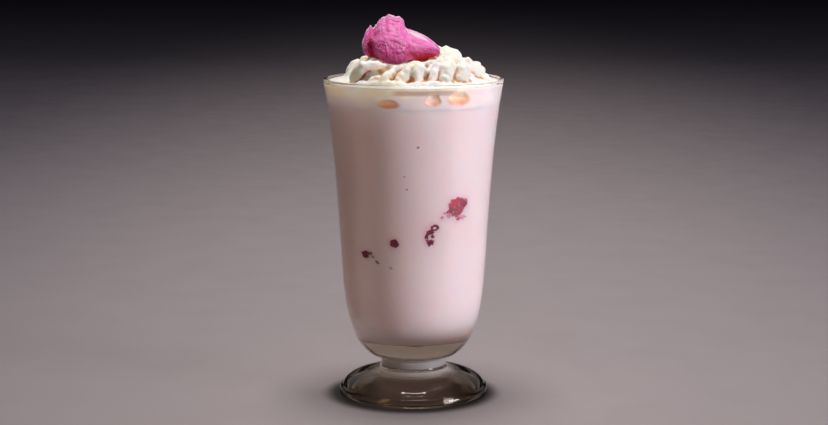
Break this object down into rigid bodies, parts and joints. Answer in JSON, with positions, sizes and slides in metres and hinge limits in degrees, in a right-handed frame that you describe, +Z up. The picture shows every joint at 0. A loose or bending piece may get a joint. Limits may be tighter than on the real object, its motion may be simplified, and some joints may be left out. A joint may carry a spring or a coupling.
{
  "type": "rose milkshake",
  "caption": "Pale pink milkshake in a clear footed glass, topped with piped whipped cream and a crumpled pink rose petal.",
  "frame": {"origin": "centre of the glass foot's underside, on the surface it stands on", "axes": "+Z up along the glass axis, -Y towards the side that shows the petal"},
  "size_m": [0.09, 0.09, 0.1917],
  "materials": {
    "glass": "clear pressed glass, polished",
    "milkshake": "opaque pale pink milk, wet",
    "cream": "soft white whipped cream, faintly moist",
    "petal": "velvety bright pink petal"
  },
  "bodies": {
    "root": {"glass": "glass", "milkshake": "milkshake", "whipped_cream": "cream", "rose_petal": "petal"}
  },
  "joints": []
}
